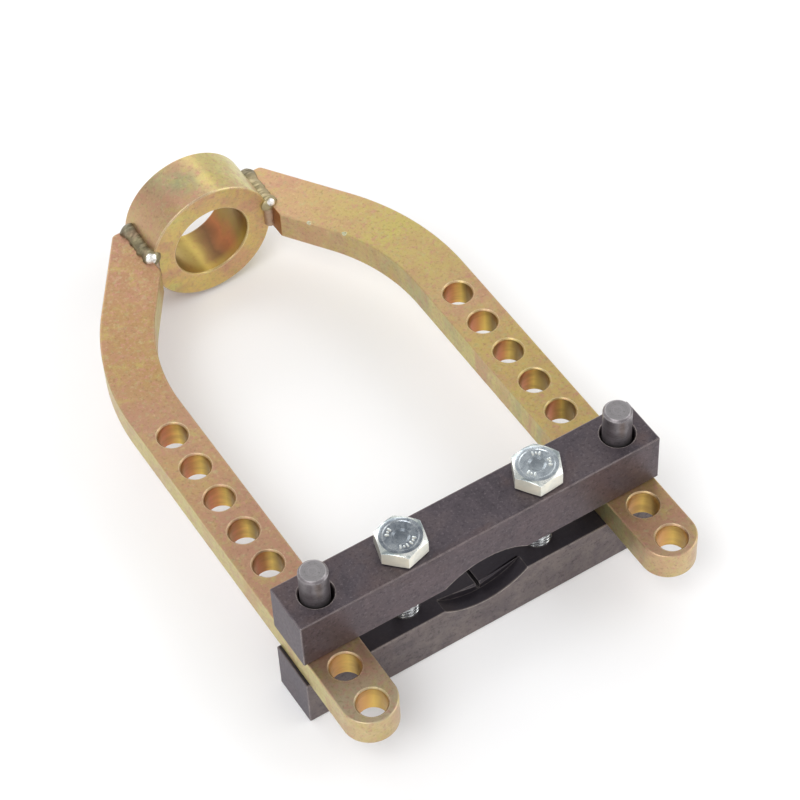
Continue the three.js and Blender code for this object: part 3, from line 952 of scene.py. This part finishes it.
def bead(path, radius_at, seed, columns=48):
    """A closed lumpy tube along a path of (centre, across, up) with a radius for share and angle."""
    mesh = bmesh.new()
    rings = []
    offset = Vector((seed * 7.3, seed * 3.1, seed * 1.7))
    rows = len(path) - 1
    for i, (centre, across, up) in enumerate(path):
        share = i / rows
        if i in (0, rows):
            rings.append([mesh.verts.new(centre)])
            continue
        ring = []
        for j in range(columns):
            angle = TAU * j / columns
            around = across * math.cos(angle) + up * math.sin(angle)
            spot = centre * 0.4 + around * 0.35 + offset
            rough = 0.55 * noise.noise(spot) + 0.22 * noise.noise(spot * 2.9)
            radius = radius_at(share, angle) * (1 + 0.22 * rough) + BEAD_ROUGHNESS * rough
            from_end = min(share, 1 - share) / BEAD_CAP
            cap = math.sqrt(max(0.0, 1 - (1 - min(1.0, from_end)) ** 2))
            ring.append(mesh.verts.new(centre + around * radius * cap))
        rings.append(ring)
    for before, after in zip(rings, rings[1:]):
        skin(mesh, before, after)
    return outward(mesh)


def weld_mesh(side, level, start, seed):
    """A flat bead of overlapping crescents in the corner between the ring and an arm."""
    rows = 140
    wander = Vector((seed * 2.9, 0, 0))
    path = []
    for i in range(rows + 1):
        y = start + (WELD_END - start) * i / rows
        sway = WELD_SWAY * noise.noise(Vector((y * 0.16, 0, 0)) + wander)
        centre = Vector((side * (RING_OUTER_RADIUS + sway), y, level * WELD_LEVEL))
        path.append((centre, Vector((side * WELD_STRETCH, 0, 0)), Vector((0, 0, level))))

    def radius_at(share, angle):
        phase = WELD_RIPPLES * share + 0.3 * math.cos(angle - 1.0)
        crest = abs(math.sin(math.pi * phase)) ** 0.7
        lump = sum(h * math.exp(-(((share - at) / spread) ** 2)) for h, at, spread in WELD_LUMPS)
        return WELD_RADIUS + WELD_RIPPLE_HEIGHT * crest + lump

    return bead(path, radius_at, seed)


def front_weld_mesh(side, seed):
    """An upright bead in the corner between the ring's front face and the end of an arm."""
    rows = 60
    path = []
    for i in range(rows + 1):
        z = FRONT_WELD_HALF_HEIGHT * (2 * i / rows - 1)
        centre = Vector((side * FRONT_WELD_X, FRONT_WELD_Y, z))
        path.append((centre, Vector((side, 0, 0)), Vector((0, -1, 0))))

    def radius_at(share, angle):
        return FRONT_WELD_RADIUS + FRONT_WELD_RIPPLE_HEIGHT * math.sin(20 * share)

    return bead(path, radius_at, seed)


# ---- clamp ----


def jaw_blank():
    """The plain bar with its corners slightly broken, underside at z = 0."""
    half_x, half_y = JAW_LENGTH / 2, JAW_DEPTH / 2
    corners = [(-half_x, -half_y), (half_x, -half_y), (half_x, half_y), (-half_x, half_y)]
    outline = rounded([Vector(c) for c in corners], JAW_CORNER_RADIUS, 4)
    return moved(plate(outline, JAW_HEIGHT / 2, JAW_EDGE_RADIUS), (0, 0, JAW_HEIGHT / 2))


def along_y(outline, start, end):
    """A prism along Y on an outline in X and Z."""
    mesh = prism([(x, -z) for x, z in outline], start, end)
    return moved(mesh, turn=-math.pi / 2, axis="X")


def vee_chamfer(pattern_x, start):
    """The slope that breaks the notch's front edge, deepest in the middle, from y = start back."""
    mesh = bmesh.new()
    rings = []
    over = 0.5
    for y, drop in ((start - over, JAW_V_CHAMFER + over), (start + JAW_V_CHAMFER, 0.0)):
        bottom = JAW_HEIGHT - JAW_V_DEPTH - drop
        outline = [
            (-JAW_V_HALF_WIDTH, JAW_HEIGHT + 1),
            (-JAW_V_HALF_WIDTH, JAW_HEIGHT),
            (0, bottom),
            (JAW_V_HALF_WIDTH, JAW_HEIGHT),
            (JAW_V_HALF_WIDTH, JAW_HEIGHT + 1),
        ]
        rings.append([mesh.verts.new((pattern_x + x, y, z)) for x, z in outline])
    skin(mesh, rings[0], rings[1])
    mesh.faces.new(rings[0])
    mesh.faces.new(rings[1][::-1])
    return outward(mesh)


def jaw_mesh(pattern_x, pin_hole, bolt_tool):
    """A jaw bar with its notch upwards; pin_hole is a radius and a shift in X and Y."""
    top, half_y, over = JAW_HEIGHT, JAW_DEPTH / 2, 1.0
    slope = JAW_V_DEPTH / JAW_V_HALF_WIDTH
    wide = JAW_V_HALF_WIDTH + over / slope
    front, back = -half_y - over, half_y + over
    vee_outline = [
        (pattern_x - wide, top + over),
        (pattern_x, top - JAW_V_DEPTH),
        (pattern_x + wide, top + over),
    ]
    slot_half, slot_bottom = JAW_SLOT_WIDTH / 2, top - JAW_SLOT_DEPTH
    slot_foot, slot_corner = slot_half - JAW_SLOT_CORNER, slot_bottom + JAW_SLOT_CORNER
    slot_left = [(-slot_half, top + over), (-slot_half, slot_corner), (-slot_foot, slot_bottom)]
    slot_points = slot_left + [(-x, z) for x, z in reversed(slot_left)]
    slot_outline = [(pattern_x + x, z) for x, z in slot_points]
    recess_back = -half_y + JAW_RECESS_DEPTH
    recess_centre = top - JAW_RECESS_HEIGHT + JAW_RECESS_RADIUS
    recess_outline = [
        (pattern_x + p.x, recess_centre + p.y) for p in circle(JAW_RECESS_RADIUS, 160)
    ]
    jaw = jaw_blank()
    jaw = combined(jaw, along_y(vee_outline, front, back))
    jaw = combined(jaw, along_y(recess_outline, front, recess_back))
    jaw = combined(jaw, vee_chamfer(pattern_x, recess_back))
    jaw = combined(jaw, along_y(slot_outline, front, back))
    pin_radius, pin_x, pin_y = pin_hole
    for side_name, side in SIDES:
        cutter = hole_cutter(pin_radius, top / 2, JAW_PIN_HOLE_RIM)
        jaw = combined(jaw, moved(cutter, (pin_x + side * ARM_SPACING / 2, pin_y, top / 2)))
        bolt_place = (pattern_x + side * BOLT_SPACING / 2, 0, top / 2)
        jaw = combined(jaw, moved(bolt_tool(side_name), bolt_place))
    return jaw


def pin_mesh():
    """A guide pin from z = 0 up, chamfered at both ends."""
    length = PIN_TOP - PIN_BOTTOM
    profile = [
        (0, 0),
        (PIN_RADIUS - PIN_CHAMFER, 0),
        (PIN_RADIUS, PIN_CHAMFER),
        (PIN_RADIUS, length - PIN_CHAMFER),
        (PIN_RADIUS - PIN_CHAMFER, length),
        (0, length),
    ]
    return lathe(rounded(profile, PIN_EDGE_RADIUS, 3, closed=False), 96)


def thread_mesh(radius, low, high, taper, segments=48):
    """A right-hand thread about Z from low to high, closed with flat ends."""
    rows_per_turn = 10
    count = max(2, round((high - low) / BOLT_PITCH * rows_per_turn))
    mesh = bmesh.new()
    rings = []
    for i in range(count + 1):
        z = low + (high - low) * i / count
        fade = min(1.0, (z - low) / taper) if taper else 1.0
        ring = []
        for j in range(segments):
            angle = TAU * j / segments
            phase = (z / BOLT_PITCH - j / segments) % 1.0
            ridge = min(1.0, max(0.0, THREAD_STEEPNESS * abs(2 * phase - 1) - THREAD_ROOT))
            reach = radius - BOLT_THREAD_DEPTH * (1 - ridge * fade)
            ring.append(mesh.verts.new((reach * math.cos(angle), reach * math.sin(angle), z)))
        rings.append(ring)
    for lower, upper in zip(rings, rings[1:]):
        skin(mesh, lower, upper)
    mesh.faces.new(rings[0][::-1])
    mesh.faces.new(rings[-1])
    return outward(mesh)


def tapped_hole(side_name):
    """The lower jaw's thread, in step with its bolt, with a broken rim at each face."""
    half = JAW_HEIGHT / 2
    over = 1.5
    mouth = [
        (0, half - THREAD_MOUTH),
        (BOLT_RADIUS - THREAD_MOUTH, half - THREAD_MOUTH),
        (BOLT_RADIUS + over, half + over),
        (0, half + over),
    ]
    thread = thread_mesh(BOLT_RADIUS + THREAD_CLEARANCE, -half - 1, half + 1, 0, 32)
    for turn in (0, math.pi):
        thread = combined(thread, moved(lathe(mouth, 64), turn=turn, axis="X"), "UNION")
    in_step = TAU * (half - BOLT_SEAT) / BOLT_PITCH + BOLT_TURNS[side_name]
    return moved(thread, turn=in_step % TAU)


def clearance_hole(side_name):
    """The upper jaw's plain hole for a bolt, the same on both sides."""
    return hole_cutter(BOLT_CLEARANCE_RADIUS, JAW_HEIGHT / 2, JAW_BOLT_HOLE_RIM)


def bolt_head():
    """The hexagon head, seat at z = 0, with a washer face, a chamfered crown and a dished top."""
    top, blank = BOLT_HEAD_HEIGHT, BOLT_ACROSS_FLATS
    drop = (blank - BOLT_CROWN_RADIUS) * math.tan(BOLT_CHAMFER)
    rise = (blank - BOLT_WASHER_RADIUS) * BOLT_UNDERSIDE_SLOPE
    profile = [
        (0, 0),
        (BOLT_WASHER_RADIUS, 0),
        (BOLT_WASHER_RADIUS + BOLT_WASHER_HEIGHT, BOLT_WASHER_HEIGHT),
        (blank, BOLT_UNDERSIDE_HEIGHT + rise),
        (blank, top - drop),
        (BOLT_CROWN_RADIUS, top),
        (0, top),
    ]
    hexagon = prism(circle(BOLT_ACROSS_FLATS / math.sqrt(3), 6), 0, top)
    head = combined(hexagon, lathe(profile, 128), "INTERSECT")
    dish = rounded([(r, top + h) for r, h in BOLT_DISH], BOLT_DISH_RADIUS, 2, closed=False)
    return combined(head, lathe(dish, 96))


def bolt_shank():
    """The thread below the seat and the plain neck that joins it to the head."""
    thread = thread_mesh(BOLT_RADIUS, -BOLT_LENGTH, -BOLT_NECK, THREAD_LEAD_IN)
    below, into_head = -BOLT_NECK - 0.4, 1
    lower_inset, upper_inset = BOLT_NECK_INSETS
    profile = [
        (0, below),
        (BOLT_RADIUS - BOLT_THREAD_DEPTH, below),
        (BOLT_RADIUS - lower_inset, -BOLT_NECK + BOLT_RUNOUT),
        (BOLT_RADIUS - upper_inset, into_head),
        (0, into_head),
    ]
    return combined(lathe(profile, 96), thread, "UNION")


def tick_mesh(half_length):
    """A raised tick with its length along X, on the crown at the tick circle."""
    half_width = TICK_HALF_WIDTH
    corners = [(-half_length, -half_width), (half_length, -half_width)]
    corners += [(half_length, half_width), (-half_length, half_width)]
    outline = rounded(corners, TICK_CORNER_RADIUS, 3)
    tick = plate(outline, TICK_HALF_HEIGHT, TICK_EDGE_RADIUS, 2)
    return moved(tick, (TICK_CIRCLE_RADIUS, 0, BOLT_HEAD_HEIGHT - TICK_SINK))


def bolt_mesh(marks):
    """A hexagon bolt, seat at z = 0, with three plain raised ticks round each mark in degrees."""
    bolt = combined(bolt_head(), bolt_shank(), "UNION")
    for mark in marks:
        for step, half_length in TICKS:
            tick = moved(tick_mesh(half_length), turn=math.radians(mark + step))
            bolt = combined(bolt, tick, "UNION")
    return bolt


# ---- assembly ----

zinc, collar_zinc = yellow_zinc(), ring_zinc()
weld, steel = weld_metal(), ground_steel()
# The left crown is painted darker and the right lighter: painted shade and painted light on two
# copies of one finish.
silver = {
    "left": bright_zinc("left_zinc", (0.13, 0.14, 0.165)),
    "right": bright_zinc("right_zinc", (0.62, 0.68, 0.71)),
}
upper_oxide = black_oxide("upper_oxide", (0.118, 0.088, 0.096))
lower_oxide = black_oxide("lower_oxide", (0.185, 0.152, 0.142))

ring_place = (0, RING_FRONT, FRAME_MIDDLE)
add_piece("collar_ring_turned", ring_mesh(), collar_zinc, "frame", "collar_ring", ring_place)

for side_name, turn, nicks in (("left", math.pi, []), ("right", 0.0, ARM_NICKS)):
    arm = moved(arm_mesh(nicks), (0, 0, FRAME_MIDDLE), turn, "Y")
    add_piece(f"{side_name}_arm_bar", arm, zinc, "frame", f"{side_name}_arm")

seed = 1
for side_name, side in SIDES:
    levels = (("upper", 1, UPPER_WELD_START), ("lower", -1, LOWER_WELD_START))
    for level_name, level, start in levels:
        name = f"weld_{side_name}_{level_name}"
        made = moved(weld_mesh(side, level, start, seed), (0, 0, FRAME_MIDDLE))
        add_piece(f"{name}_bead", made, weld, "frame", name, sharp=60)
        seed += 1
    name = f"weld_{side_name}_front"
    made = moved(front_weld_mesh(side, seed), (0, 0, FRAME_MIDDLE))
    add_piece(f"{name}_bead", made, weld, "frame", name, sharp=60)
    seed += 1

seats = (PIN_SEAT_RADIUS, 0, -JAW_MIDDLE_Y)
lower_bar = jaw_mesh(JAW_PATTERN_X, seats, tapped_hole)
lower_place = (0, JAW_MIDDLE_Y, 0)
add_piece("lower_jaw_bar", lower_bar, lower_oxide, "lower_clamp", "lower_jaw", lower_place)
clearances = (PIN_CLEARANCE_RADIUS, -JAW_PATTERN_X, 0)
upper_bar = moved(jaw_mesh(-JAW_PATTERN_X, clearances, clearance_hole), turn=math.pi, axis="Y")
upper_place = (0, JAW_MIDDLE_Y, UPPER_JAW_BOTTOM + JAW_HEIGHT)
add_piece("upper_jaw_bar", upper_bar, upper_oxide, "upper_jaw", "upper_jaw", upper_place)

for side_name, side in SIDES:
    pin_place = (side * ARM_SPACING / 2, 0, PIN_BOTTOM)
    node = f"{side_name}_pin"
    add_piece(f"{side_name}_guide_pin", pin_mesh(), steel, "lower_clamp", node, pin_place)
    bolt_place = (JAW_PATTERN_X + side * BOLT_SPACING / 2, JAW_MIDDLE_Y, BOLT_SEAT)
    bolt = moved(bolt_mesh(BOLT_MARKS[side_name]), turn=BOLT_TURNS[side_name])
    name = f"{side_name}_bolt"
    add_piece(f"{side_name}_hex_bolt", bolt, silver[side_name], name, name, bolt_place)


# ---- floor, light and camera, in metres and degrees ----

FLOOR_HALF_SIZE = 6
FLOOR_LEVEL = -0.0003
LIGHT_TARGET = (0, 0.08, 0)
SOFTBOXES = [
    ("key", (-0.9, -0.5, 1.5), (1.0, 1.0), 13),
    ("fill", (1.3, -0.6, 1.1), (1.2, 1.2), 8),
    ("back", (0.2, 1.6, 0.9), (1.6, 0.8), 8),
]
SKY_STOPS = [(0.0, (1, 1, 1, 1)), (0.9, (0.55, 0.55, 0.56, 1))]
SKY_STRENGTH = 1.05
CAMERA_PLACE = (-0.3377, -0.5453, 0.9186)
CAMERA_TURN = (39.243, 2.091, -32.157)
CAMERA_LENS = 123.46
CAMERA_SENSOR = 36
CAMERA_REACH = 50


def add_floor():
    """A wide pale floor just under the lower jaw."""
    grid = bmesh.new()
    bmesh.ops.create_grid(grid, x_segments=8, y_segments=8, size=FLOOR_HALF_SIZE)
    floor = mesh_object("floor", grid)
    floor.data.materials.append(floor_paint())
    floor.location.z = FLOOR_LEVEL


def add_softbox(name, place, size, power):
    """A rectangular light in watts, aimed at the tool."""
    light = bpy.data.lights.new(name, "AREA")
    light.shape = "RECTANGLE"
    light.size, light.size_y = size
    light.energy = power
    lamp = placed(name, light)
    lamp.location = place
    direction = Vector(LIGHT_TARGET) - Vector(place)
    lamp.rotation_euler = direction.to_track_quat("-Z", "Y").to_euler()


def add_sky():
    """A white horizon that turns grey overhead."""
    world = bpy.data.worlds.new("studio")
    bpy.context.scene.world = world
    world.use_nodes = True
    tree = world.node_tree
    background = tree.nodes["Background"]
    direction = tree.nodes.new("ShaderNodeTexCoord")
    height = tree.nodes.new("ShaderNodeSeparateXYZ")
    shade = tree.nodes.new("ShaderNodeValToRGB")
    tree.links.new(direction.outputs["Generated"], height.inputs[0])
    tree.links.new(height.outputs["Z"], shade.inputs[0])
    tree.links.new(shade.outputs[0], background.inputs["Color"])
    for element, (position, colour) in zip(shade.color_ramp.elements, SKY_STOPS):
        element.position = position
        element.color = colour
    background.inputs["Strength"].default_value = SKY_STRENGTH


def add_camera():
    """The photo's own viewpoint, as solved from the tool's outlines and holes."""
    data = bpy.data.cameras.new("camera")
    data.sensor_width = CAMERA_SENSOR
    data.lens = CAMERA_LENS
    data.clip_end = CAMERA_REACH
    camera = placed("camera", data)
    camera.location = CAMERA_PLACE
    camera.rotation_euler = [math.radians(a) for a in CAMERA_TURN]
    bpy.context.scene.camera = camera


add_floor()
for softbox in SOFTBOXES:
    add_softbox(*softbox)
add_sky()
add_camera()
bpy.context.scene.view_settings.view_transform = "Standard"
